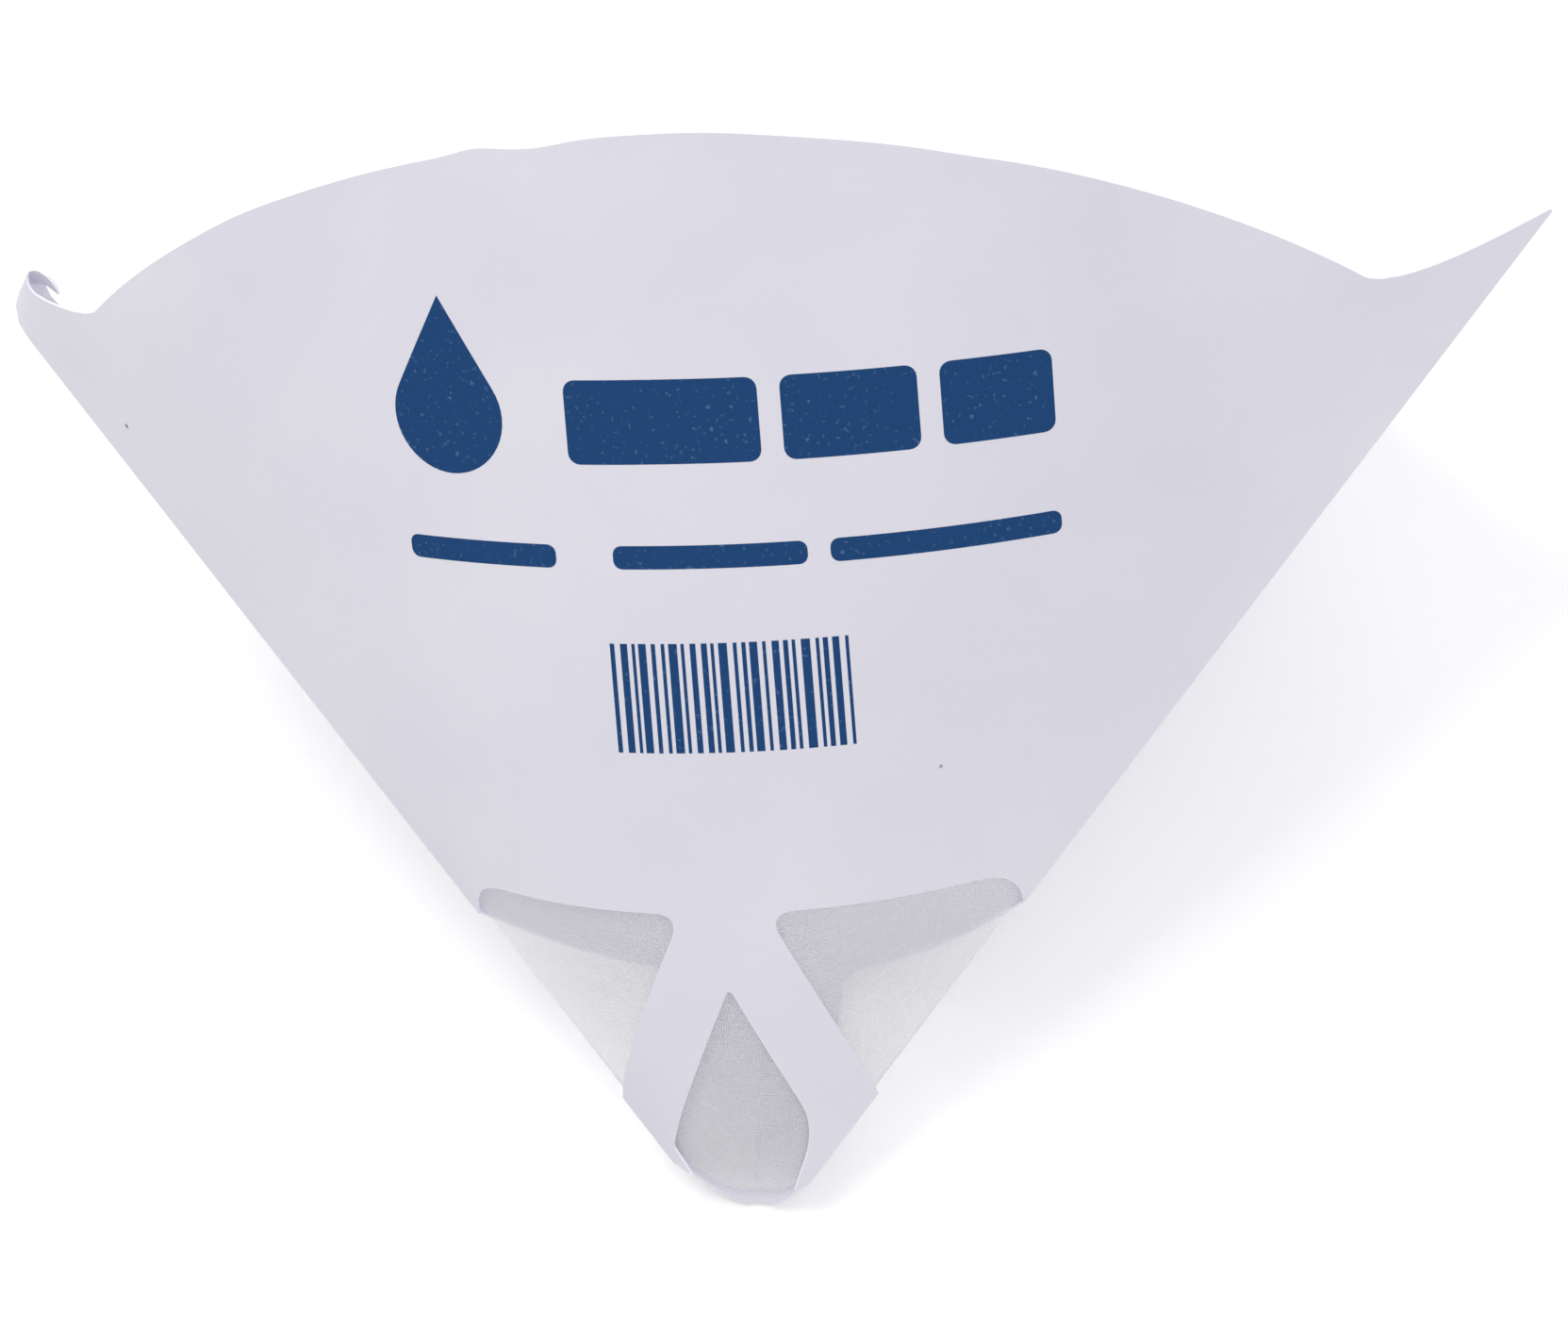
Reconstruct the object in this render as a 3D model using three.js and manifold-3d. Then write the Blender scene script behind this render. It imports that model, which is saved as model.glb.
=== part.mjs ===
// A cone paint strainer: a half disc of card folded twice and rolled into a cone, with three windows
// cut near its tip and a nylon mesh glued inside them. It lies on its back wall, mouth towards +Y.
// Lengths are in millimetres and angles in degrees.
import * as THREE from 'three';
import { mergeVertices } from 'three/addons/utils/BufferGeometryUtils.js';
import Module from 'manifold-3d';

// The card blank, laid flat: x across it, y from the apex along its centre line
const SLANT = 154; // from the apex to the rim
const CARD_THICKNESS = 0.35;
const WALL_ANGLE = 90; // of the flat blank, from one fold to the other
const TIP_RADIUS = 8.4; // where the card ends short of the apex
const TIP_CUT_RISE = 8.2; // how much further up the slanted cut ends at the left fold
const TIP_CUT_WIDTH = 38;
const TIP_CORNER_RISE = 4.2; // the same at the right fold, where the corner is cut off
const TIP_CORNER_WIDTH = 28;

// How far the folded cone is squeezed open: half the angle between its two folds
const FOLD_ANGLE = 38.2;

// The ears, pointed lugs that stand above the rim at each fold
const EAR_HEIGHT = 21.5;
const EAR_HALF_WIDTH = 20;
const EAR_CURVE = 1.6; // 1 gives straight sides, more draws them in
const EAR_BLUNT = 1; // cut off the point
const EAR_ANGLE = 8; // on the blank, from a fold to where its ear has run out
const CURL_START = 6.5; // above the rim, where the left ear starts to curl
const CURL_RADIUS = 4.6;
const CURL_TILT = 38; // of the curl, from the inside of the mouth towards the front
const CURL_ROWS = 9;

// The windows, as corners that each give x, y and the length of the round stretch on either side.
// A side window lies across each fold, and the tip window in the strip of card between those two.
const SIDE_WINDOW = [[5.6, 47.8, 4.2], [42.4, 47.8, 8], [42.4, 9.8, 4], [24.6, 9.8, 3]];
const TIP_WINDOW = [[0, 37.6, 1.2], [12.6, 9.4, 5], [-12.6, 12.6, 2.6]];

// The glued lap along the back
const LAP_INSIDE = 3.7; // from the middle of the back to the edge seen inside
const LAP_OUTSIDE = 6.3; // from the middle of the back to the edge seen outside
const LAP_END = 11; // where the extra layer ends, from the apex
const LAP_SETBACK = 1.2; // from the slanted cut of the tip

// The nylon mesh
const MESH_THICKNESS = 0.3;
const MESH_CLEARANCE = 0.3; // to the lap
const MESH_START = 9.6;
const MESH_SETBACK = 1.4; // from the cut of the tip
const MESH_END = 63;
const MESH_ROW_PITCH = 4.1;
const MESH_GAP_HEIGHT = 2.7;
const MESH_COLUMN_PITCH = 6;
const MESH_GAP_ANGLE = 4;

// Fineness
const COLUMN_STEP = 2.5;
const ROUNDING_STEPS = 4;
const GLUE_DEPTH = 0.06; // how deep the lap's extra layer sits in the wall that carries it

const HALF_TURN = WALL_ANGLE; // from the centre line to the middle of the back
const FOLD = WALL_ANGLE / 2;
const MIDDLE_COLUMN = HALF_TURN - COLUMN_STEP / 2; // either side of the facet along the back
const { degToRad } = THREE.MathUtils;
const sine = (angle) => Math.sin(degToRad(angle));
const cosine = (angle) => Math.cos(degToRad(angle));

// The opened cone

// Each wall is part of a round cone, as long from fold to fold as the flat blank. This finds the
// cone's half angle, the turn about its axis from the middle of the wall to a fold, and its lean.
function fitWallCone() {
  const halfWall = degToRad(WALL_ANGLE) / 2;
  let low = halfWall * 2 / Math.PI;
  let high = 1;
  for (let i = 0; i < 60; i += 1) {
    const middle = (low + high) / 2;
    if (middle * Math.sin(halfWall / middle) < sine(FOLD_ANGLE)) {
      low = middle;
    } else {
      high = middle;
    }
  }
  const halfAngle = Math.asin(low);
  const reach = halfWall / low;
  return { halfAngle, reach, lean: Math.atan(Math.tan(halfAngle) * Math.cos(reach)) };
}

const wallCone = fitWallCone();

// The direction from the apex, and the outward normal, at an angle across one wall.
function wallRay(angle, isBack) {
  const turn = angle / FOLD * wallCone.reach;
  const { halfAngle, lean } = wallCone;
  const axis = new THREE.Vector3(0, Math.cos(lean), -Math.sin(lean));
  const spoke = new THREE.Vector3(0, Math.sin(lean), Math.cos(lean)).multiplyScalar(Math.cos(turn));
  spoke.x = Math.sin(turn);
  const along = axis.clone().multiplyScalar(Math.cos(halfAngle)).addScaledVector(spoke, Math.sin(halfAngle));
  const normal = spoke.clone().multiplyScalar(Math.cos(halfAngle)).addScaledVector(axis, -Math.sin(halfAngle));
  if (isBack) {
    along.z *= -1;
    normal.z *= -1;
  }
  return { along, normal };
}

// The same for an angle of the flat blank, which runs from -90 to 90 and meets itself at the back.
// At a fold the normal is the mitre of both walls.
function blankRay(angle) {
  const side = Math.sign(angle) || 1;
  const front = wallRay(angle, false);
  const back = wallRay(side * HALF_TURN - angle, true);
  const pastFold = Math.abs(angle) - FOLD;
  if (Math.abs(pastFold) < 1e-9) {
    const mitre = front.normal.clone().add(back.normal);
    return { along: front.along, normal: mitre.divideScalar(1 + front.normal.dot(back.normal)) };
  }
  return pastFold > 0 ? back : front;
}

// A place on the cone: slant distance, angle on the blank, and height off the middle of the card.
function place(distance, angle, lift) {
  const { along, normal } = blankRay(angle);
  const toFold = angle + FOLD;
  const height = distance * cosine(toFold) - SLANT - CURL_START;
  if (Math.abs(toFold) > EAR_ANGLE || height <= 0) {
    return along.multiplyScalar(distance).addScaledVector(normal, lift);
  }
  const fold = blankRay(-FOLD).along;
  const inward = new THREE.Vector3(fold.y, -fold.x, 0).multiplyScalar(cosine(CURL_TILT));
  inward.z = sine(CURL_TILT);
  const bend = height / CURL_RADIUS;
  const point = along.multiplyScalar((SLANT + CURL_START) / cosine(toFold));
  point.addScaledVector(fold, CURL_RADIUS * Math.sin(bend));
  point.addScaledVector(inward, CURL_RADIUS * (1 - Math.cos(bend)));
  normal.applyAxisAngle(fold.cross(inward).normalize(), bend);
  return point.addScaledVector(normal, lift);
}

// Outlines on the flat blank

// A closed outline from corners given as [x, y, length of the round stretch on either side].
function roundedOutline(corners) {
  const points = [];
  corners.forEach(([x, y, round], index) => {
    const corner = new THREE.Vector2(x, y);
    const before = corners[(index + corners.length - 1) % corners.length];
    const after = corners[(index + 1) % corners.length];
    const start = new THREE.Vector2(before[0], before[1]).sub(corner).setLength(round).add(corner);
    const end = new THREE.Vector2(after[0], after[1]).sub(corner).setLength(round).add(corner);
    points.push(...new THREE.QuadraticBezierCurve(start, corner, end).getPoints(ROUNDING_STEPS));
  });
  return points;
}

const rightWindow = roundedOutline(SIDE_WINDOW);
const leftWindow = roundedOutline(SIDE_WINDOW.map(([x, y, round]) => [-x, y, round]));
const tipWindow = roundedOutline(TIP_WINDOW);

const angleOf = (point) => THREE.MathUtils.radToDeg(Math.atan2(point.x, point.y));

// Where a ray from the apex enters and leaves an outline. Past either end it gives that end twice.
function outlineSpan(outline, angle) {
  const ends = [...outline].sort((a, b) => angleOf(a) - angleOf(b));
  const first = ends[0];
  const last = ends[ends.length - 1];
  if (angle <= angleOf(first) + 1e-6) {
    return [first.length(), first.length()];
  }
  if (angle >= angleOf(last) - 1e-6) {
    return [last.length(), last.length()];
  }
  const ray = new THREE.Vector2(sine(angle), cosine(angle));
  const distances = [];
  outline.forEach((start, index) => {
    const step = outline[(index + 1) % outline.length].clone().sub(start);
    const across = ray.cross(step);
    const share = start.clone().cross(ray) / across;
    if (Math.abs(across) > 1e-9 && share > -1e-6 && share < 1 + 1e-6) {
      distances.push(start.clone().addScaledVector(step, share).length());
    }
  });
  return [Math.min(...distances), Math.max(...distances)];
}

function tipCut(angle) {
  const nearLeft = Math.max(0, 1 - Math.abs(angle + FOLD) / TIP_CUT_WIDTH);
  const nearRight = Math.max(0, 1 - Math.abs(angle - FOLD) / TIP_CORNER_WIDTH);
  return TIP_RADIUS + TIP_CUT_RISE * nearLeft ** 2 + TIP_CORNER_RISE * nearRight ** 2;
}

function rim(angle) {
  const toFold = Math.abs(angle) - FOLD;
  const across = Math.abs(SLANT * sine(toFold));
  const rise = EAR_HEIGHT * Math.max(0, 1 - across / EAR_HALF_WIDTH) ** EAR_CURVE;
  return SLANT + Math.min(rise, EAR_HEIGHT - EAR_BLUNT);
}

// The rim, or a level above it that crosses the left ear, whichever is lower.
function earLevel(height) {
  return (angle) => {
    const toFold = Math.abs(angle + FOLD);
    return toFold > EAR_ANGLE ? rim(angle) : Math.min(rim(angle), (SLANT + height) / cosine(toFold));
  };
}

// Solids from a grid over the blank

// Joins equal corners of a triangle list and drops triangles that have shrunk to a line.
function weld(triangles) {
  const geometry = new THREE.BufferGeometry();
  geometry.setAttribute('position', new THREE.Float32BufferAttribute(triangles.flat(), 3));
  const welded = mergeVertices(geometry, 1e-4);
  const index = welded.index.array;
  const kept = [];
  for (let i = 0; i < index.length; i += 3) {
    const [a, b, c] = index.slice(i, i + 3);
    if (a !== b && b !== c && c !== a) {
      kept.push(a, b, c);
    }
  }
  welded.setIndex(kept);
  return welded;
}

// A sheet over the blank. columns are angles; rows[j] gives the distance of row j at an angle;
// isSolid(column, row) says which cells are material; lifts gives the heights of both faces at a
// place. Cells that have no height count as absent, so two solid rows meet across them.
function sheetGeometry({ columns, rows, isSolid, lifts, closed }) {
  const corners = columns.map((angle) => rows.map((row) => {
    const distance = row(angle);
    const [inside, outside] = lifts(distance, angle);
    return {
      distance,
      inside: place(distance, angle, inside).toArray(),
      outside: place(distance, angle, outside).toArray(),
    };
  }));
  const triangles = [];
  const quad = (a, b, c, d) => triangles.push(...a, ...b, ...c, ...a, ...c, ...d);
  const rowCount = rows.length - 1;
  const pairs = closed ? columns.length : columns.length - 1;
  const next = (column) => (column + 1) % columns.length;
  const isFlat = (column, row) => [column, next(column)].every((k) => (
    corners[k][row + 1].distance - corners[k][row].distance < 1e-6));
  const hasCell = (column, row) => {
    const wrapped = (column + columns.length) % columns.length;
    const inRange = closed || (column >= 0 && column < pairs);
    return inRange && row >= 0 && row < rowCount && isSolid(wrapped, row);
  };
  const facesGap = (column, row, step) => {
    let other = row + step;
    while (other >= 0 && other < rowCount && isFlat(column, other)) {
      other += step;
    }
    return !hasCell(column, other);
  };
  for (let column = 0; column < pairs; column += 1) {
    for (let row = 0; row < rowCount; row += 1) {
      if (hasCell(column, row) && !isFlat(column, row)) {
        const [a, b] = [corners[column][row], corners[next(column)][row]];
        const [d, c] = [corners[column][row + 1], corners[next(column)][row + 1]];
        quad(a.outside, b.outside, c.outside, d.outside);
        quad(a.inside, d.inside, c.inside, b.inside);
        if (facesGap(column, row, -1)) {
          quad(a.inside, b.inside, b.outside, a.outside);
        }
        if (facesGap(column, row, 1)) {
          quad(d.inside, d.outside, c.outside, c.inside);
        }
        if (!hasCell(column - 1, row)) {
          quad(a.inside, a.outside, d.outside, d.inside);
        }
        if (!hasCell(column + 1, row)) {
          quad(b.inside, c.inside, c.outside, b.outside);
        }
      }
    }
  }
  return weld(triangles);
}

function sortedAngles(angles) {
  const sorted = [...angles].sort((a, b) => a - b);
  return sorted.filter((angle, index) => index === 0 || angle - sorted[index - 1] > 1e-4);
}

// Even columns, with one flat facet across the middle of the back, and one column on each fold.
function evenColumns() {
  const angles = [-FOLD, FOLD];
  for (let angle = COLUMN_STEP / 2; angle < HALF_TURN; angle += COLUMN_STEP) {
    angles.push(angle, -angle);
  }
  return angles;
}

// The card

function cardColumns(outlines) {
  const angles = evenColumns();
  outlines.forEach((outline) => angles.push(...outline.map(angleOf)));
  const earAngle = EAR_HALF_WIDTH / degToRad(SLANT);
  for (const share of [0.04, 0.08, 0.14, 0.22, 0.31, 0.42, 0.55, 0.7, 0.85, 1]) {
    for (const fold of [-FOLD, FOLD]) {
      angles.push(fold - share * earAngle, fold + share * earAngle);
    }
  }
  return sortedAngles(angles);
}

function cardWall() {
  const tip = (end) => (angle) => outlineSpan(tipWindow, angle)[end];
  const side = (end) => (angle) => outlineSpan(angle < 0 ? leftWindow : rightWindow, angle)[end];
  const rows = [
    tipCut,
    tip(0),
    tip(1),
    side(0),
    side(1),
  ];
  const curlLength = EAR_HEIGHT - EAR_BLUNT - CURL_START;
  for (let i = 0; i < CURL_ROWS; i += 1) {
    rows.push(earLevel(CURL_START + curlLength * i / CURL_ROWS));
  }
  rows.push(rim);
  const windowRows = [1, 3];
  return sheetGeometry({
    columns: cardColumns([leftWindow, rightWindow, tipWindow]),
    rows,
    isSolid: (column, row) => !windowRows.includes(row),
    lifts: () => [-CARD_THICKNESS / 2, CARD_THICKNESS / 2],
    closed: true,
  });
}

// The extra layer of the lap. It thins to nothing in one column past the facet along the back, and
// ends in a free edge on the other side. side is the sign of x at that edge.
function lapLayer({ side, width, isInside }) {
  const reach = THREE.MathUtils.radToDeg(Math.asin(width / LAP_END));
  const thinEnd = -side * (MIDDLE_COLUMN - COLUMN_STEP);
  const columns = [thinEnd, -side * MIDDLE_COLUMN];
  for (let angle = COLUMN_STEP / 2; angle < reach; angle += COLUMN_STEP) {
    columns.push(side * (HALF_TURN - angle));
  }
  if (side > 0) {
    columns.reverse();
  }
  const low = (angle) => Math.max(LAP_END, tipCut(angle) + LAP_SETBACK);
  const high = (angle) => {
    const isFreeSide = Math.sign(angle) === side;
    return isFreeSide ? Math.min(SLANT, width / sine(HALF_TURN - Math.abs(angle))) : SLANT;
  };
  const lifts = (distance, angle) => {
    const wall = CARD_THICKNESS / 2;
    const extra = (angle === thinEnd ? 0 : CARD_THICKNESS) - GLUE_DEPTH / 2;
    return isInside ? [-wall - extra, -wall + GLUE_DEPTH] : [wall - GLUE_DEPTH, wall + extra];
  };
  return sheetGeometry({
    columns,
    rows: [low, (angle) => Math.max(low(angle), high(angle))],
    isSolid: () => true,
    lifts,
    closed: false,
  });
}

const wasm = await Module();
wasm.setup();

function toSolid(geometry) {
  return new wasm.Manifold(new wasm.Mesh({
    numProp: 3,
    vertProperties: Float32Array.from(geometry.attributes.position.array),
    triVerts: Uint32Array.from(geometry.index.array),
  }));
}

function toGeometry(solid) {
  const mesh = solid.getMesh();
  const geometry = new THREE.BufferGeometry();
  geometry.setAttribute('position', new THREE.BufferAttribute(mesh.vertProperties, 3));
  geometry.setIndex(new THREE.BufferAttribute(mesh.triVerts, 1));
  return geometry;
}

function cardCone() {
  const inside = lapLayer({ side: 1, width: LAP_INSIDE, isInside: true });
  const outside = lapLayer({ side: -1, width: LAP_OUTSIDE, isInside: false });
  return toGeometry(toSolid(cardWall()).add(toSolid(inside)).add(toSolid(outside)));
}

// The mesh

// Gaps stand in rows and columns wherever a whole one lies in a side window.
function meshLiner() {
  const start = (angle) => Math.max(MESH_START, tipCut(angle) + MESH_SETBACK);
  const levels = [MESH_START];
  for (let level = MESH_START + MESH_ROW_PITCH; level + MESH_GAP_HEIGHT < MESH_END; level += MESH_ROW_PITCH) {
    levels.push(level, level + MESH_GAP_HEIGHT);
  }
  levels.push(MESH_END);
  const angles = evenColumns().filter((angle) => Math.abs(angle) > HALF_TURN - MESH_COLUMN_PITCH
    || Math.abs(angle) === FOLD);
  for (let angle = MESH_COLUMN_PITCH / 2; angle < HALF_TURN - MESH_COLUMN_PITCH; angle += MESH_COLUMN_PITCH) {
    for (const edge of [angle - MESH_GAP_ANGLE / 2, angle + MESH_GAP_ANGLE / 2]) {
      angles.push(edge, -edge);
    }
  }
  const columns = sortedAngles(angles);
  const isOpen = (column, row) => {
    const edges = [columns[column], columns[(column + 1) % columns.length]];
    const isGapColumn = Math.abs(edges[1] - edges[0] - MESH_GAP_ANGLE) < 1e-6;
    const isGapRow = row % 2 === 1 && row < levels.length - 2;
    if (!isGapColumn || !isGapRow) {
      return false;
    }
    return edges.every((angle) => {
      const [low, high] = outlineSpan(edges[0] < 0 ? leftWindow : rightWindow, angle);
      return levels[row] > Math.max(low, start(angle)) && levels[row + 1] < high;
    });
  };
  const top = -(CARD_THICKNESS * 1.5 + MESH_CLEARANCE);
  return sheetGeometry({
    columns,
    rows: levels.map((level) => (angle) => Math.max(level, start(angle))),
    isSolid: (column, row) => !isOpen(column, row),
    lifts: () => [top - MESH_THICKNESS, top],
    closed: true,
  });
}

// Assembly

function namedMesh(name, geometry, look) {
  const flat = geometry.index ? geometry.toNonIndexed() : geometry;
  flat.computeVertexNormals();
  const mesh = new THREE.Mesh(flat, new THREE.MeshStandardMaterial(look));
  mesh.name = name;
  return mesh;
}

const cone = new THREE.Group();
cone.add(
  namedMesh('card_cone', cardCone(), { color: 0xdcdae6, roughness: 0.75, metalness: 0, side: THREE.DoubleSide }),
  namedMesh('mesh_liner', meshLiner(), { color: 0xe9e8ec, roughness: 0.6, metalness: 0, side: THREE.DoubleSide }),
);
const alongBack = blankRay(MIDDLE_COLUMN).along;
cone.rotation.x = Math.atan2(-alongBack.z, alongBack.y); // lays the middle of the back level

const strainer = new THREE.Group();
strainer.add(cone);
const bounds = new THREE.Box3().setFromObject(strainer, true);
const centre = bounds.getCenter(new THREE.Vector3());
cone.position.set(-centre.x, -centre.y, -bounds.min.z);

export default strainer;
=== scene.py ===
"""A cone paint strainer that lies on its back wall, with its mouth towards +Y.

The card, its print and its nylon mesh are all drawn on the flat blank, which is half a disc: x runs
across it, and y runs from the apex along its centre line. The blank is then bent into the squeezed
cone, which is tilted so that the middle of its back lies level. Lengths are in millimetres and angles
in degrees, apart from the lights and the floor, which are in metres.
"""

import math

import bpy
from mathutils import Matrix, Vector


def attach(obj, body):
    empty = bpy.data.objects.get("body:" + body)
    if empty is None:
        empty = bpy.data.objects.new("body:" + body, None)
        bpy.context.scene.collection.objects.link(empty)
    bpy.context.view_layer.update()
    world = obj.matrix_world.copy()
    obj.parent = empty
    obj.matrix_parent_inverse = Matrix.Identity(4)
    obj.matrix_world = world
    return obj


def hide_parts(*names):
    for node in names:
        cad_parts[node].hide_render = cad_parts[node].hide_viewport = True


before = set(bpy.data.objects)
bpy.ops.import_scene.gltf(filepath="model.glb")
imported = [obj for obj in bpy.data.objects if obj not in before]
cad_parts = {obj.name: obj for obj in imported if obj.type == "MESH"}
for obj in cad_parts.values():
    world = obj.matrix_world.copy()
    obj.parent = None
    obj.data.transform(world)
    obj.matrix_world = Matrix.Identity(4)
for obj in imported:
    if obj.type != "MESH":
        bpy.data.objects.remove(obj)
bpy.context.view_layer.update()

MM = 0.001

# The card blank
SLANT = 154  # from the apex to the rim
CARD_THICKNESS = 0.35
CARD_FACE = CARD_THICKNESS / 2  # from the middle of the card's thickness
FOLD = 45  # from the centre line to each fold
HALF_TURN = 2 * FOLD  # from the centre line to the lap
FOLD_ANGLE = 38.2  # half the angle between the folds of the opened cone
TIP_RADIUS = 8.4  # from the apex to the cut of the tip, at its nearest
TIP_CUT_RISE = 8.2  # how much further out that cut lies at the left fold
TIP_CUT_WIDTH = 38  # from that fold to where the rise has run out
TIP_CORNER_RISE = 4.2  # and at the right fold
TIP_CORNER_WIDTH = 28

# The ears
EAR_HEIGHT = 21.5
EAR_HALF_WIDTH = 20
EAR_CURVE = 1.6  # 1 gives straight sides, more draws them in
EAR_BLUNT = 0.7  # cut off the point
EAR_ANGLE = 8  # on the blank, from a fold to where its ear has run out
CURL_START = 6.5  # above the rim, where the left ear starts to curl
CURL_RADIUS = 4.6
CURL_TILT = 38  # of the curl, from the inside of the mouth towards the front

# The windows: corners as x, y and the length of the round stretch on either side
# The tip window runs out through the cut of the tip.
SIDE_WINDOW = [(5.6, 47.8, 4.2), (42.4, 47.8, 8), (42.4, 9.8, 4), (24.6, 9.8, 3)]
TIP_WINDOW = [(0, 37.6, 1.2), (10.2, 17.2, 4.5), (6, 6.6, 0.3), (-7, 9, 0.3), (-10.9, 14.6, 0.5)]

# The lap along the back
LAP_INSIDE = 3.7  # from the middle of the back to the edge seen inside
LAP_OUTSIDE = 6.3  # from the middle of the back to the edge seen outside
LAP_END = 11  # where the extra layer ends, from the apex
LAP_SETBACK = 1.2  # from the slanted cut of the tip
GLUE_DEPTH = 0.06  # how deep the extra layer sits in the wall that carries it

# The mesh
MESH_START = 9.6  # from the apex
MESH_END = 63
MESH_SETBACK = 1.4  # from the slanted cut of the tip
MESH_THICKNESS = 0.16
MESH_LIFT = -0.7  # of its outer face, from the middle of the card's thickness

# The print
INK_DEPTH = 0.02  # above and below the card's face
DROP_CENTRE = (-33, 115.5)
DROP_RADIUS = 8
DROP_HEIGHT = 16.5  # from its centre to its point
DROP_END = 0.04  # the height that is left at its two sides
BLOCKS = [(-16, 10), (13, 31), (34, 49)]
BLOCK_LEVELS = (109.5, 121)
BLOCK_RADIUS = 1.6
LINES = [(-41, -19), (-11, 15), (18, 49)]
LINE_LEVELS = (95.2, 98.4)
LINE_RADIUS = 1.2
STRIPES = 24
STRIPE_START = -12.5
STRIPE_LEVELS = (70, 85)
STRIPE_LEAST = 0.45
STRIPE_SPREAD = 0.75
STRIPE_TURN = 2.4  # radians from one stripe to the next
GAP_LEAST = 0.45
GAP_SPREAD = 0.35
GAP_TURN = 1.7  # radians from one gap to the next

# Wear: a bump is an angle, a width and a height, and a wave is a height, radians for each
# millimetre from the apex, radians for each degree, and a phase
RIM_DENTS = [(-9.6, 1.3, 0.5), (-6.4, 1.8, -0.55), (2.2, 3.2, 0.25), (15, 2.4, -0.2), (-24, 3, 0.2)]
BULGES = [(-9, 5, 0.55), (-2, 4, -0.385)]
WAVES = [(0.22, 0, 0.19, 1.1), (0.132, 0.083, 0.11, 0)]
WAVE_START = 75  # from the apex
WAVE_GROWTH = 75  # from there to where the waves have their full height
CALM_ANGLE = 12  # over which they fade out towards a fold or the lap

# Where the apex lies, and the photograph's view of the front wall
APEX = Vector((-3.732, -79.872, 0.495))
VIEW_TURN = 11.3  # about the cone's axis, to the right
VIEW_PITCH = 6.5  # towards the tip
VIEW_CENTRE = (4.44, 78.9)  # right and up from the apex
VIEW_WIDTH = 207.9  # across the picture
VIEW_DISTANCE = 2400
VIEW_SENSOR = 36
VIEW_REACH = 20  # in metres

# Fineness
COLUMN_STEP = 0.75
ROW_STEP = 2.5
BACK_FACET = 1.25  # half the flat facet along the back, and the step between the lap's columns
EAR_COLUMNS = (0.02, 0.04, 0.07, 0.1, 0.14, 0.18, 0.23, 0.29, 0.36, 0.44, 0.53, 0.63, 0.75, 0.88, 1)
WINDOW_CORNER_STEPS = 9
BLOCK_CORNER_STEPS = 5
DROP_STEPS = 24
INK_STEP = 1.5
SHARP_EDGE = 35
WALL_CONE_STEPS = 60

# Differences that count as none
ROUNDING_ERROR = 1e-9
SAME_PLACE = 1e-6
SAME_ROW = 1e-5
SAME_COLUMN = 1e-4
PLACE_DIGITS = 5

# Colours, and the scales of their textures: to the metre, or to the unit of the UV map
CARD_SHADOW = (0.765, 0.745, 0.835)
CARD_LIGHT = (0.82, 0.805, 0.88)
# Painted highlight: the card's cut edges are drawn this much brighter than its faces, as if lit
CUT_EDGE_PAINTED_HIGHLIGHT = 1.13
CARD_MOTTLE = 26
CARD_FIBRES = 1800
SPECK_COLOUR = (0.35, 0.33, 0.42)
SPECK_SCALE = 42
INK_COLOUR = (0.012, 0.06, 0.185)
PINHOLE_COLOUR = (0.08, 0.15, 0.3)
PINHOLE_SCALE = 1500
THREAD_SHADOW = (0.88, 0.87, 0.9)
THREAD_LIGHT = (0.95, 0.94, 0.96)
THREAD_SCALE = 96
GAP_COVER = (0.04, 0.04, 0.04)
THREAD_COVER = (0.26, 0.26, 0.26)
UV_UNIT = 100  # millimetres of the blank
WHITE = (1, 1, 1)

# The studio, in metres
FLOOR_SIZE = 6
FLOOR_COLOUR = (0.93, 0.93, 0.93)
FLOOR_GLOW = 0.22  # only in what the camera sees
SKY_LIGHT = 0.62
SKY_SEEN = 1
LIGHTS = [
    # name, place, target, size, power, colour
    ("key", (-0.5, 0.4, 1.1), (0, 0, 0.03), 0.7, 5.6, (1, 0.985, 0.975)),
    ("fill", (0.7, -0.5, 0.9), (0, 0, 0.03), 0.9, 2.8, (0.93, 0.965, 1)),
    ("mouth", (0, 1, 0.35), (0, -0.05, 0.03), 0.6, 2.2, WHITE),
]


def sine(angle):
    return math.sin(math.radians(angle))


def cosine(angle):
    return math.cos(math.radians(angle))


# The opened cone


def fit_wall_cone():
    """Each wall is part of a round cone. Its half angle, how far the wall reaches round it on either
    side of the wall's middle, and how far its axis leans, all in radians."""
    half_wall = math.radians(FOLD)
    low, high = half_wall * 2 / math.pi, 1
    for _ in range(WALL_CONE_STEPS):
        middle = (low + high) / 2
        if middle * math.sin(half_wall / middle) < sine(FOLD_ANGLE):
            low = middle
        else:
            high = middle
    half_angle = math.asin(low)
    reach = half_wall / low
    return half_angle, reach, math.atan(math.tan(half_angle) * math.cos(reach))


HALF_ANGLE, REACH, LEAN = fit_wall_cone()


def wall_ray(angle, is_back):
    """The direction from the apex, and the outward normal, at an angle from the middle of a wall."""
    turn = angle / FOLD * REACH
    axis = Vector((0, math.cos(LEAN), -math.sin(LEAN)))
    spoke = Vector((0, math.sin(LEAN), math.cos(LEAN))) * math.cos(turn)
    spoke.x = math.sin(turn)
    along = axis * math.cos(HALF_ANGLE) + spoke * math.sin(HALF_ANGLE)
    normal = spoke * math.cos(HALF_ANGLE) - axis * math.sin(HALF_ANGLE)
    if is_back:
        along.z *= -1
        normal.z *= -1
    return along, normal


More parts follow.
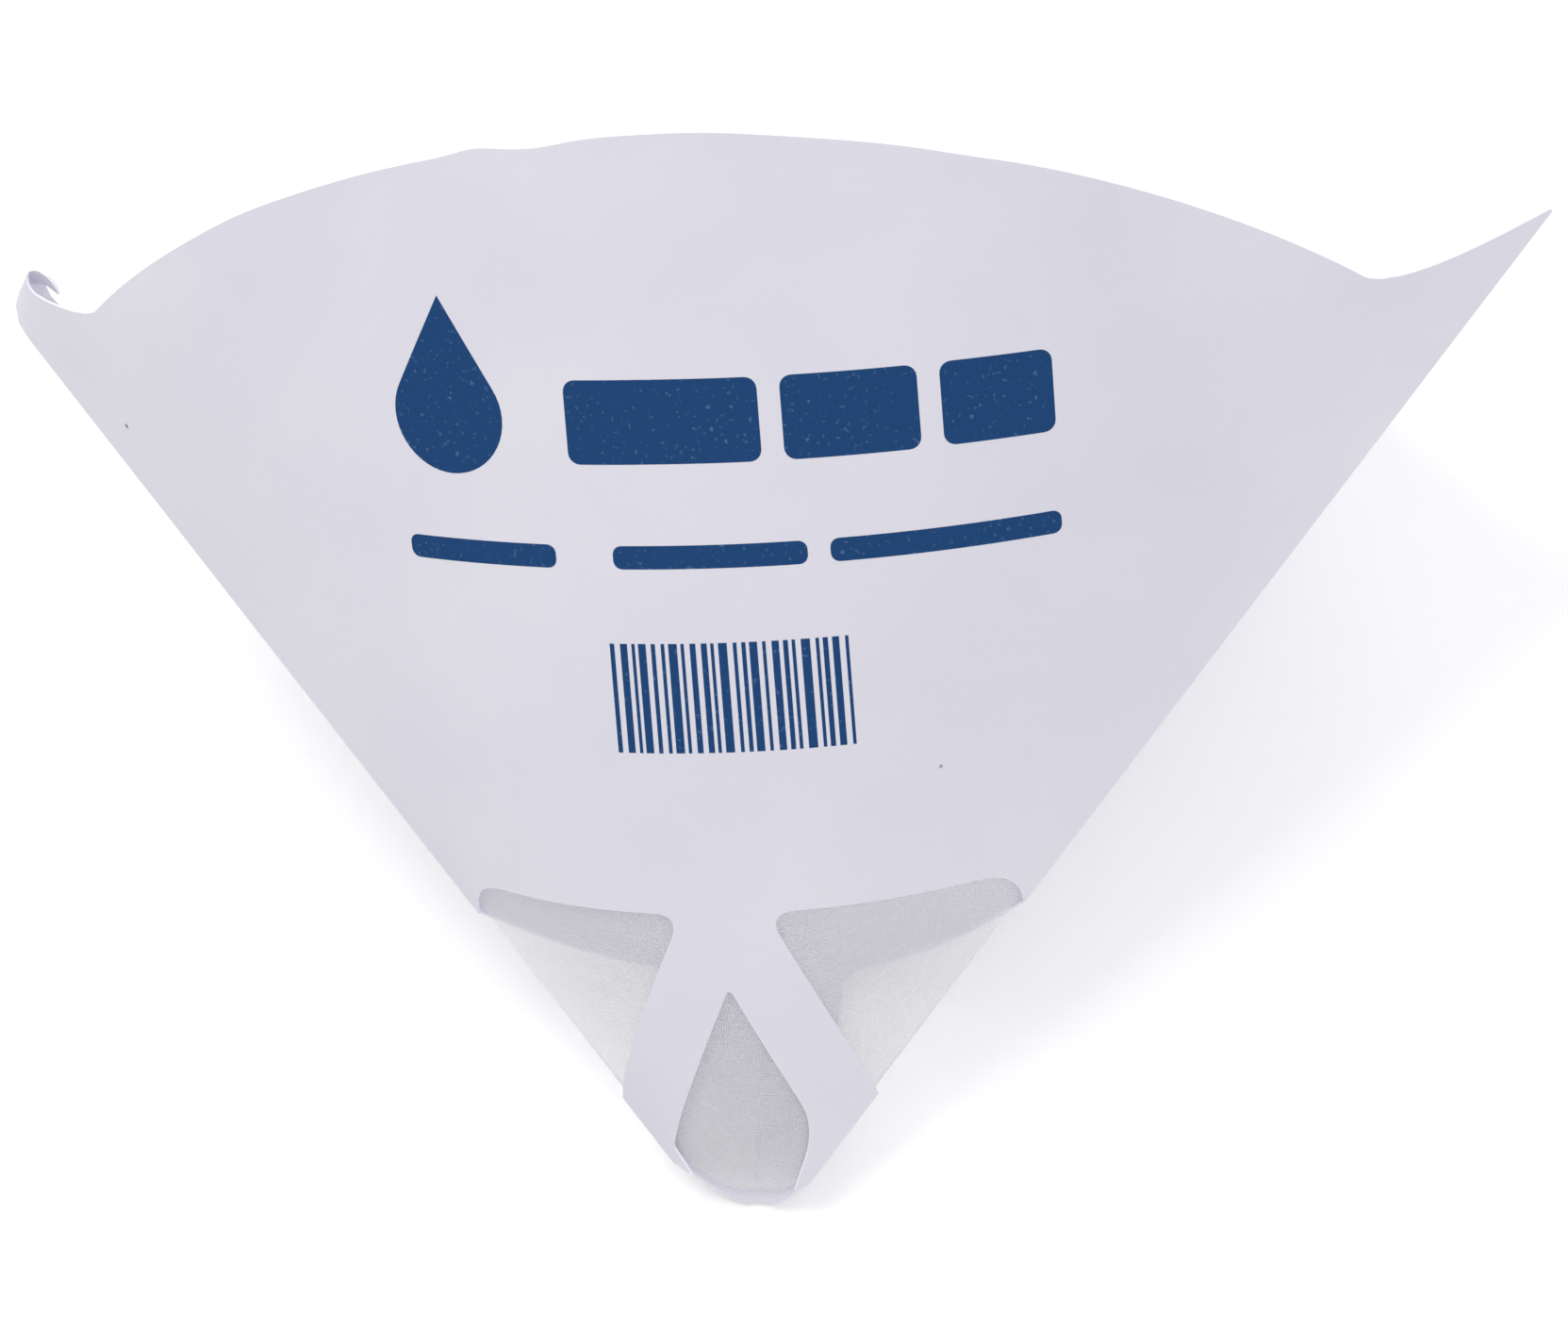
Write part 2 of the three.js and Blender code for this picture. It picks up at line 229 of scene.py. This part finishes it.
def blank_ray(angle):
    """The same at an angle of the blank, from -90 to 90. At a fold the normal is the mitre."""
    side = -1 if angle < 0 else 1
    along, normal = wall_ray(angle, False)
    back_along, back_normal = wall_ray(side * HALF_TURN - angle, True)
    past_fold = abs(angle) - FOLD
    if abs(past_fold) < ROUNDING_ERROR:
        return along, (normal + back_normal) / (1 + normal.dot(back_normal))
    return (back_along, back_normal) if past_fold > 0 else (along, normal)


BACK_ALONG = wall_ray(BACK_FACET, True)[0]
TILT = Matrix.Rotation(math.atan2(-BACK_ALONG.z, BACK_ALONG.y), 4, "X")


def bumps(table, angle):
    """The height of smooth bumps across the blank, at an angle."""
    return sum(height * math.exp(-(((angle - middle) / width) ** 2)) for middle, width, height in table)


def waviness(distance, angle):
    """How far the card stands off its true cone, which grows towards the rim."""
    growth = min(1, max(0, (distance - WAVE_START) / WAVE_GROWTH))
    from_fold = min(1, abs(abs(angle) - FOLD) / CALM_ANGLE)
    from_lap = min(1, (HALF_TURN - abs(angle)) / CALM_ANGLE)
    waves = sum(
        height * math.sin(per_mm * distance + per_degree * angle + phase)
        for height, per_mm, per_degree, phase in WAVES
    )
    return growth**2 * from_fold * from_lap * (waves + bumps(BULGES, angle))


def cone_point(distance, angle, lift):
    """A place on the standing part: slant distance, angle on the blank, height off the card's middle."""
    along, normal = blank_ray(angle)
    lift += waviness(distance, angle)
    to_fold = angle + FOLD
    height = distance * cosine(to_fold) - SLANT - CURL_START
    if abs(to_fold) > EAR_ANGLE or height <= 0:
        point = along * distance + normal * lift
    else:
        point = curled_point(along, normal, to_fold, height, lift)
    return TILT @ point + APEX


def curled_point(along, normal, to_fold, height, lift):
    """A place on the left ear, rolled in by its height above the level where the curl starts."""
    fold = blank_ray(-FOLD)[0]
    inward = Vector((fold.y, -fold.x, 0)) * cosine(CURL_TILT)
    inward.z = sine(CURL_TILT)
    bend = height / CURL_RADIUS
    point = along * ((SLANT + CURL_START) / cosine(to_fold))
    point += fold * (CURL_RADIUS * math.sin(bend)) + inward * (CURL_RADIUS * (1 - math.cos(bend)))
    return point + Matrix.Rotation(bend, 3, fold.cross(inward)) @ normal * lift


# Outlines on the flat blank


def rounded_outline(corners, side=1):
    """A closed outline from corners given as x, y and the length of the round stretch."""
    points = []
    for index, (x, y, length) in enumerate(corners):
        corner = Vector((side * x, y))
        before, after = corners[index - 1], corners[(index + 1) % len(corners)]
        start = corner + (Vector((side * before[0], before[1])) - corner).normalized() * length
        end = corner + (Vector((side * after[0], after[1])) - corner).normalized() * length
        for step in range(WINDOW_CORNER_STEPS + 1):
            t = step / WINDOW_CORNER_STEPS
            points.append(start * (1 - t) ** 2 + corner * (2 * t * (1 - t)) + end * t**2)
    return points


def angle_of(point):
    return math.degrees(math.atan2(point.x, point.y))


def outline_span(outline, angle):
    """Where a ray from the apex enters and leaves an outline. Past either end it gives it twice."""
    ends = sorted(outline, key=angle_of)
    if angle <= angle_of(ends[0]) + SAME_PLACE:
        return ends[0].length, ends[0].length
    if angle >= angle_of(ends[-1]) - SAME_PLACE:
        return ends[-1].length, ends[-1].length
    ray = Vector((sine(angle), cosine(angle)))
    distances = []
    for index, start in enumerate(outline):
        step = outline[(index + 1) % len(outline)] - start
        across = ray.x * step.y - ray.y * step.x
        if abs(across) > ROUNDING_ERROR:
            share = (start.x * ray.y - start.y * ray.x) / across
            if -SAME_PLACE < share < 1 + SAME_PLACE:
                distances.append((start + step * share).length)
    return min(distances), max(distances)


def tip_cut(angle):
    """How far from the apex the tip is cut off."""
    near_left = max(0, 1 - abs(angle + FOLD) / TIP_CUT_WIDTH)
    near_right = max(0, 1 - abs(angle - FOLD) / TIP_CORNER_WIDTH)
    return TIP_RADIUS + TIP_CUT_RISE * near_left**2 + TIP_CORNER_RISE * near_right**2


def rim(angle):
    """How far from the apex the card ends, with its ears and dents."""
    to_fold = abs(angle) - FOLD
    across = abs(SLANT * sine(to_fold))
    rise = EAR_HEIGHT * max(0, 1 - across / EAR_HALF_WIDTH) ** EAR_CURVE
    return SLANT + min(rise, EAR_HEIGHT - EAR_BLUNT) + bumps(RIM_DENTS, angle)


# Sheets from a grid over the blank


class SheetGrid:
    """Columns at angles of the blank and rows of slant distances, rows[j][i] at column i. Band j lies
    between rows j and j + 1, and is_window says whether it is cut out. lifts(angle) gives the heights
    of the sheet's inner and outer face."""

    def __init__(self, columns, rows, is_window, lifts):
        self.columns = columns
        self.rows = rows
        self.is_window = is_window
        self.lifts = lifts
        self.vertices = []
        self.index_of = {}

    def corner(self, place, face):
        """The number of the vertex at a place of the grid, on the inner face 0 or the outer face 1."""
        i, j = place[0] % len(self.columns), place[1]
        distance, angle = self.rows[j][i], self.columns[i]
        lift = self.lifts(angle)[face]
        key = (i, round(distance, PLACE_DIGITS), round(lift, PLACE_DIGITS))
        if key not in self.index_of:
            self.index_of[key] = len(self.vertices)
            blank = (distance * sine(angle), distance * cosine(angle))
            self.vertices.append((cone_point(distance, angle, lift), blank))
        return self.index_of[key]

    def edge(self, start, end):
        """The face along a cut edge."""
        return [
            self.corner(start, 0), self.corner(end, 0),
            self.corner(end, 1), self.corner(start, 1),
        ]

    def has_no_height(self, i, j):
        after = (i + 1) % len(self.columns)
        return all(self.rows[j + 1][k] - self.rows[j][k] < SAME_ROW for k in (i, after))

    def is_cut(self, i, j, step):
        """Whether the sheet ends beyond band j, past any bands that have no height here."""
        other = j + step
        while 0 <= other < len(self.is_window) and self.has_no_height(i, other):
            other += step
        return not 0 <= other < len(self.is_window) or self.is_window[other]


def sheet_piece(name, columns, key_rows, lifts, closed, open_bands=()):
    """A sheet with two faces and its cut edges, over key rows that each give a slant distance for every
    column. open_bands are cut out between them, and closed joins the last column to the first."""
    grid = SheetGrid(columns, *filled_rows(key_rows, open_bands), lifts)
    pairs = len(columns) if closed else len(columns) - 1
    faces, edges = [], []
    for i in range(pairs):
        for j, is_window in enumerate(grid.is_window):
            if is_window or grid.has_no_height(i, j):
                continue
            a, b, c, d = (i, j), (i + 1, j), (i + 1, j + 1), (i, j + 1)
            faces.append([grid.corner(place, 1) for place in (a, b, c, d)])
            faces.append([grid.corner(place, 0) for place in (d, c, b, a)])
            sides = [
                (a, b, grid.is_cut(i, j, -1)),
                (c, d, grid.is_cut(i, j, 1)),
                (d, a, not closed and i == 0),
                (b, c, not closed and i == pairs - 1),
            ]
            edges += [grid.edge(start, end) for start, end, is_cut in sides if is_cut]
    return mesh_piece(name, grid.vertices, faces, edges)


def without_repeats(faces):
    """Faces with doubled corners joined, and without those that have shrunk to a line."""
    kept = [[v for k, v in enumerate(face) if v != face[k - 1]] for face in faces]
    return [face for face in kept if len(face) > 2]


def mesh_piece(name, vertices, faces, edges=()):
    """A smooth-shaded object from places in millimetres, with the blank's x and y as its UV map.
    edges are the faces along cut edges, which take the second material."""
    faces, edges = without_repeats(faces), without_repeats(edges)
    mesh = bpy.data.meshes.new(name)
    mesh.from_pydata([point * MM for point, _ in vertices], [], faces + edges)
    for polygon in mesh.polygons[len(faces):]:
        polygon.material_index = 1
    layer = mesh.uv_layers.new(name="blank")
    for loop in mesh.loops:
        x, y = vertices[loop.vertex_index][1]
        layer.data[loop.index].uv = (x / UV_UNIT, y / UV_UNIT)
    mesh.shade_smooth()
    mesh.set_sharp_from_angle(angle=math.radians(SHARP_EDGE))
    piece = bpy.data.objects.new(name, mesh)
    bpy.context.scene.collection.objects.link(piece)
    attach(piece, "root")
    return piece


def even_columns(extra=()):
    """Angles round the blank, with one flat facet along the back and a column on each fold."""
    angles = [-FOLD, FOLD, *extra]
    for step in range(int((HALF_TURN - 2 * BACK_FACET) / COLUMN_STEP)):
        angles += [(step + 0.5) * COLUMN_STEP, -(step + 0.5) * COLUMN_STEP]
    angles += [HALF_TURN - BACK_FACET, BACK_FACET - HALF_TURN]
    angles.sort()
    return [a for k, a in enumerate(angles) if k == 0 or a - angles[k - 1] > SAME_COLUMN]


def filled_rows(key_rows, open_bands):
    """Adds rows between the key rows, and tells which of the new bands are windows."""
    rows, is_window = [key_rows[0]], []
    for band, (low, high) in enumerate(zip(key_rows, key_rows[1:])):
        tallest = max(h - l for l, h in zip(low, high))
        count = 1 if band in open_bands else max(1, round(tallest / ROW_STEP))
        for k in range(1, count + 1):
            rows.append([l + (h - l) * k / count for l, h in zip(low, high)])
            is_window.append(band in open_bands)
    return rows, is_window


# The card


def ear_columns():
    """Angles across both ears, closest together at the folds."""
    half_ear = math.degrees(EAR_HALF_WIDTH / SLANT)
    angles = []
    for share in EAR_COLUMNS:
        for fold in (-FOLD, FOLD):
            angles += [fold - share * half_ear, fold + share * half_ear]
    return angles


def card_cone():
    """The card, from the cut of its tip to its rim. The tip window lies between the second and third
    key row, and the side windows between the fourth and fifth."""
    left, right = rounded_outline(SIDE_WINDOW, -1), rounded_outline(SIDE_WINDOW)
    tip = rounded_outline(TIP_WINDOW)
    columns = even_columns([angle_of(point) for point in left + right + tip] + ear_columns())
    cut = [tip_cut(angle) for angle in columns]
    side_spans = [outline_span(left if angle < 0 else right, angle) for angle in columns]
    tip_spans = [outline_span(tip, angle) for angle in columns]
    key_rows = [
        cut,
        [max(start, span[0]) for start, span in zip(cut, tip_spans)],
        [max(start, span[1]) for start, span in zip(cut, tip_spans)],
        [span[0] for span in side_spans],
        [span[1] for span in side_spans],
        [rim(angle) for angle in columns],
    ]

    def lifts(angle):
        return -CARD_FACE, CARD_FACE

    return sheet_piece("card", columns, key_rows, lifts, closed=True, open_bands=(1, 3))


def lap_layer(name, side, width, is_inside):
    """The extra layer of the lap, with its free edge on the side given by the sign of x. It thins to
    nothing in one column past the facet along the back."""
    thin_end = -side * (HALF_TURN - 3 * BACK_FACET)
    reach = math.degrees(math.asin(width / LAP_END))
    columns = [thin_end, -side * (HALF_TURN - BACK_FACET)]
    columns += [side * (HALF_TURN - k * BACK_FACET) for k in range(1, math.ceil(reach / BACK_FACET))]
    if side > 0:
        columns.reverse()

    def end(angle):
        """How far from the apex the layer runs: to the rim, or to its free edge."""
        is_free = angle * side > 0
        return min(SLANT, width / sine(HALF_TURN - abs(angle))) if is_free else SLANT

    def lifts(angle):
        thickness = (0 if angle == thin_end else CARD_THICKNESS) - GLUE_DEPTH / 2
        inside = (-CARD_FACE - thickness, -CARD_FACE + GLUE_DEPTH)
        outside = (CARD_FACE - GLUE_DEPTH, CARD_FACE + thickness)
        return inside if is_inside else outside

    low = [max(LAP_END, tip_cut(angle) + LAP_SETBACK) for angle in columns]
    high = [max(start, end(angle)) for angle, start in zip(columns, low)]
    return sheet_piece(name, columns, [low, high], lifts, closed=False)


# The mesh


def mesh_liner():
    columns = even_columns()
    start = [max(MESH_START, tip_cut(angle) + MESH_SETBACK) for angle in columns]
    end = [MESH_END] * len(columns)

    def lifts(angle):
        return MESH_LIFT - MESH_THICKNESS, MESH_LIFT

    return sheet_piece("nylon_mesh", columns, [start, end], lifts, closed=True)


# The print: plain fields of ink, on the front wall


def ink_vertices(outline, rows):
    """The places of a field's corners: its lower face first, then its upper face."""
    vertices = []
    for lift in (CARD_FACE - INK_DEPTH, CARD_FACE + INK_DEPTH):
        for x, low, high in outline:
            for k in range(rows + 1):
                y = low + (high - low) * k / rows
                angle = math.degrees(math.atan2(x, y))
                vertices.append((cone_point(math.hypot(x, y), angle, lift), (x, y)))
    return vertices


def ink_field(name, outline):
    """A thin field of ink. outline gives x, lower y and upper y, from left to right."""
    rows = max(1, math.ceil(max(high - low for _, low, high in outline) / INK_STEP))
    last = len(outline) - 1

    def corner(place, face):
        return (face * len(outline) + place[0]) * (rows + 1) + place[1]

    def edge(start, end):
        return [corner(start, 0), corner(end, 0), corner(end, 1), corner(start, 1)]

    faces = []
    for i in range(last):
        for k in range(rows):
            cell = [(i, k), (i + 1, k), (i + 1, k + 1), (i, k + 1)]
            faces.append([corner(place, 1) for place in cell])
            faces.append([corner(place, 0) for place in reversed(cell)])
        faces.append(edge((i, 0), (i + 1, 0)))
        faces.append(edge((i + 1, rows), (i, rows)))
    for k in range(rows):
        faces.append(edge((0, k + 1), (0, k)))
        faces.append(edge((last, k), (last, k + 1)))
    return mesh_piece(name, ink_vertices(outline, rows), faces)


def bar_end(levels, radius):
    """The left end of a bar's outline, with x measured from that end."""
    low, high = levels
    if radius == 0:
        return [(0, low, high)]
    end = []
    for k in range(BLOCK_CORNER_STEPS + 1):
        turn = math.pi / 2 * k / BLOCK_CORNER_STEPS
        inset = radius * (1 - math.sin(turn))
        end.append((radius * (1 - math.cos(turn)), low + inset, high - inset))
    return end


def bar(ends, levels, radius=0):
    """A bar's outline from its two ends and its two levels, with its corners rounded to a radius."""
    start, end = ends
    left = bar_end(levels, radius)
    length = end - start - 2 * radius
    count = max(1, math.ceil(length / INK_STEP))
    inner = [(radius + length * k / count, *levels) for k in range(1, count)]
    right = [(end - start - x, low, high) for x, low, high in reversed(left)]
    return [(start + x, low, high) for x, low, high in left + inner + right]


def drop(centre, radius, height):
    """A drop's outline: a disc drawn up to a point at that height over its centre."""
    x, y = centre
    half_gap = math.acos(radius / height)
    shoulder = radius * math.sin(half_gap)
    outline = []
    for k in range(DROP_STEPS + 1):
        across = -math.cos(math.pi * k / DROP_STEPS) * radius
        low = -math.sqrt(max(0, radius**2 - across**2))
        if abs(across) < shoulder:
            high = height - abs(across) * (height - radius * math.cos(half_gap)) / shoulder
        else:
            high = max(-low, low + DROP_END)
        outline.append((x + across, y + low, y + high))
    return outline


def stripes():
    """Outlines of upright stripes, whose widths and gaps come from a sine and a cosine."""
    outlines = []
    x = STRIPE_START
    for index in range(STRIPES):
        width = STRIPE_LEAST + STRIPE_SPREAD * (0.5 + 0.5 * math.sin(STRIPE_TURN * index)) ** 2
        outlines.append(bar((x, x + width), STRIPE_LEVELS))
        x += width + GAP_LEAST + GAP_SPREAD * (0.5 + 0.5 * math.cos(GAP_TURN * index))
    return outlines


def printed_fields():
    """A drop and a row of blocks, a row of thin bars, and a block of stripes."""
    rows = {
        "block": [bar(ends, BLOCK_LEVELS, BLOCK_RADIUS) for ends in BLOCKS],
        "line": [bar(ends, LINE_LEVELS, LINE_RADIUS) for ends in LINES],
        "stripe": stripes(),
    }
    pieces = [ink_field("ink_drop", drop(DROP_CENTRE, DROP_RADIUS, DROP_HEIGHT))]
    for kind, outlines in rows.items():
        for number, outline in enumerate(outlines, 1):
            pieces.append(ink_field(f"ink_{kind}_{number}", outline))
    return pieces


# Materials


def new_material(name):
    material = bpy.data.materials.new(name)
    material.use_nodes = True
    nodes = material.node_tree.nodes
    return material, nodes, material.node_tree.links, nodes["Principled BSDF"]


def noise(nodes, links, coordinates, scale, detail):
    texture = nodes.new("ShaderNodeTexNoise")
    texture.inputs["Scale"].default_value = scale
    texture.inputs["Detail"].default_value = detail
    links.new(coordinates, texture.inputs["Vector"])
    return texture.outputs["Fac"]


def colour_ramp(nodes, links, value, low, high):
    """A colour that goes from low to high, which are each a position and a colour."""
    ramp = nodes.new("ShaderNodeValToRGB")
    for element, (position, colour) in zip(ramp.color_ramp.elements, (low, high)):
        element.position = position
        element.color = (*colour, 1)
    links.new(value, ramp.inputs["Fac"])
    return ramp.outputs["Color"]


def bump(nodes, links, shader, height, strength, distance):
    node = nodes.new("ShaderNodeBump")
    node.inputs["Strength"].default_value = strength
    node.inputs["Distance"].default_value = distance
    links.new(height, node.inputs["Height"])
    links.new(node.outputs["Normal"], shader.inputs["Normal"])


def specks(nodes, links, place):
    """White with a few small dark specks."""
    cells = nodes.new("ShaderNodeTexVoronoi")
    cells.inputs["Scale"].default_value = SPECK_SCALE
    links.new(place, cells.inputs["Vector"])
    return colour_ramp(nodes, links, cells.outputs["Distance"], (0.012, SPECK_COLOUR), (0.018, WHITE))


def multiply(nodes, links, colour, other):
    """One colour times another. A mix node's sockets for colours are found by number, because those
    for plain numbers have the same names."""
    mix = nodes.new("ShaderNodeMix")
    mix.data_type = "RGBA"
    mix.blend_type = "MULTIPLY"
    mix.inputs["Factor"].default_value = 1
    links.new(colour, mix.inputs[6])
    links.new(other, mix.inputs[7])
    return mix.outputs[2]


def card_material(name, painted_highlight):
    """Uncoated white card: slow mottling, fine fibres and a few dark specks. The factor brightens it;
    above 1 it is a painted highlight, used for the lit cut edges.
    """
    material, nodes, links, shader = new_material(name)
    place = nodes.new("ShaderNodeTexCoord").outputs["Object"]
    shadow = [part * painted_highlight for part in CARD_SHADOW]
    light = [part * painted_highlight for part in CARD_LIGHT]
    mottling = noise(nodes, links, place, scale=CARD_MOTTLE, detail=3)
    fibres = noise(nodes, links, place, scale=CARD_FIBRES, detail=4)
    mottled = colour_ramp(nodes, links, mottling, (0.3, shadow), (0.72, light))
    colour = multiply(nodes, links, mottled, specks(nodes, links, place))
    links.new(colour, shader.inputs["Base Color"])
    shader.inputs["Roughness"].default_value = 0.72
    shader.inputs["Specular IOR Level"].default_value = 0.3
    shader.inputs["Sheen Weight"].default_value = 0.12
    bump(nodes, links, shader, fibres, strength=0.16, distance=0.0002)
    return material


def ink_material():
    """Navy ink, with the pale pinholes of a rough print."""
    material, nodes, links, shader = new_material("navy ink")
    place = nodes.new("ShaderNodeTexCoord").outputs["Object"]
    grain = noise(nodes, links, place, scale=PINHOLE_SCALE, detail=2)
    colour = colour_ramp(nodes, links, grain, (0.62, INK_COLOUR), (0.76, PINHOLE_COLOUR))
    links.new(colour, shader.inputs["Base Color"])
    shader.inputs["Roughness"].default_value = 0.75
    shader.inputs["Specular IOR Level"].default_value = 0.12
    return material


def plain_weave(nodes, links):
    """Threads that cross, from 0 between them to 1 along their middles."""
    place = nodes.new("ShaderNodeTexCoord").outputs["UV"]
    weave = nodes.new("ShaderNodeMath")
    weave.operation = "MAXIMUM"
    for index, direction in enumerate(("X", "Y")):
        threads = nodes.new("ShaderNodeTexWave")
        threads.bands_direction = direction
        threads.inputs["Scale"].default_value = THREAD_SCALE
        links.new(place, threads.inputs["Vector"])
        links.new(threads.outputs["Fac"], weave.inputs[index])
    return weave.outputs["Value"]


def mesh_material():
    """Woven nylon: a plain weave of fine threads that lets light through."""
    material, nodes, links, shader = new_material("woven nylon")
    weave = plain_weave(nodes, links)
    colour = colour_ramp(nodes, links, weave, (0.25, THREAD_SHADOW), (0.8, THREAD_LIGHT))
    cover = colour_ramp(nodes, links, weave, (0.3, GAP_COVER), (0.75, THREAD_COVER))
    links.new(colour, shader.inputs["Base Color"])
    links.new(cover, shader.inputs["Alpha"])
    shader.inputs["Roughness"].default_value = 0.45
    bump(nodes, links, shader, weave, strength=0.4, distance=0.0001)
    return material


# The studio


def seen_strength(nodes, links, socket, unseen, seen):
    """Gives a strength one value in the light on the object, and another in what the camera sees."""
    path = nodes.new("ShaderNodeLightPath")
    total = path.outputs["Is Camera Ray"]
    for ray in ("Is Glossy Ray", "Is Transmission Ray"):
        add = nodes.new("ShaderNodeMath")
        links.new(total, add.inputs[0])
        links.new(path.outputs[ray], add.inputs[1])
        total = add.outputs["Value"]
    level = nodes.new("ShaderNodeMapRange")
    level.inputs["To Min"].default_value = unseen
    level.inputs["To Max"].default_value = seen
    links.new(total, level.inputs["Value"])
    links.new(level.outputs["Result"], socket)


def white_floor():
    material, nodes, links, shader = new_material("floor")
    shader.inputs["Base Color"].default_value = (*FLOOR_COLOUR, 1)
    shader.inputs["Roughness"].default_value = 0.9
    shader.inputs["Emission Color"].default_value = (*WHITE, 1)
    seen_strength(nodes, links, shader.inputs["Emission Strength"], 0, FLOOR_GLOW)
    bpy.ops.mesh.primitive_plane_add(size=FLOOR_SIZE)
    floor = bpy.context.object
    floor.name = "floor"
    floor.data.materials.append(material)


def white_sky():
    world = bpy.data.worlds.new("studio")
    world.use_nodes = True
    nodes, links = world.node_tree.nodes, world.node_tree.links
    sky = nodes["Background"]
    sky.inputs["Color"].default_value = (*WHITE, 1)
    seen_strength(nodes, links, sky.inputs["Strength"], SKY_LIGHT, SKY_SEEN)
    bpy.context.scene.world = world


def area_light(name, place, target, size, power, colour):
    light = bpy.data.lights.new(name, "AREA")
    light.color = colour
    light.size = size
    light.energy = power
    lamp = bpy.data.objects.new(name, light)
    lamp.location = place
    lamp.rotation_euler = (Vector(target) - Vector(place)).to_track_quat("-Z", "Y").to_euler()
    bpy.context.scene.collection.objects.link(lamp)


def camera():
    """The photograph's view: down on the front wall, a little from the right and from the tip."""
    along = Vector((0, 1, 0))
    right = Vector((cosine(VIEW_TURN), 0, -sine(VIEW_TURN)))
    forward = Vector((sine(VIEW_TURN), 0, cosine(VIEW_TURN)))
    up = along * cosine(VIEW_PITCH) + forward * sine(VIEW_PITCH)
    towards = forward * cosine(VIEW_PITCH) - along * sine(VIEW_PITCH)
    centre = right * VIEW_CENTRE[0] + up * VIEW_CENTRE[1]
    place = TILT @ (centre + towards * VIEW_DISTANCE) + APEX
    axes = Matrix((right, up, towards)).transposed().to_4x4()
    data = bpy.data.cameras.new("camera")
    data.sensor_width = VIEW_SENSOR
    data.lens = VIEW_SENSOR * VIEW_DISTANCE / VIEW_WIDTH
    data.clip_end = VIEW_REACH
    eye = bpy.data.objects.new("camera", data)
    eye.matrix_world = Matrix.Translation(place * MM) @ TILT @ axes
    bpy.context.scene.collection.objects.link(eye)
    bpy.context.scene.camera = eye


def studio():
    """A white floor under an even white sky, with soft lamps."""
    white_floor()
    white_sky()
    for light in LIGHTS:
        area_light(*light)
    camera()
    bpy.context.scene.view_settings.view_transform = "Standard"


# The strainer


def dress(piece, slot, *materials):
    """Gives a piece its materials, of which the second is for its cut edges. slot is not used."""
    for material in materials:
        piece.data.materials.append(material)


def strainer():
    card = card_cone()
    lap_inside = lap_layer("lap_inside", 1, LAP_INSIDE, True)
    lap_outside = lap_layer("lap_outside", -1, LAP_OUTSIDE, False)
    liner = mesh_liner()
    # The cut edges get a brighter copy of the card: a painted highlight standing in for the light on
    # them
    paper, highlighted_cut_edge = card_material("card face", 1), card_material("card cut edge painted highlight", CUT_EDGE_PAINTED_HIGHLIGHT)
    ink, nylon = ink_material(), mesh_material()
    for piece in (card, lap_inside, lap_outside):
        dress(piece, "card", paper, highlighted_cut_edge)
    for piece in printed_fields():
        dress(piece, "card", ink)
    dress(liner, "nylon_mesh", nylon, nylon)
    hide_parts("card_cone")
    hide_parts("mesh_liner")


strainer()
studio()
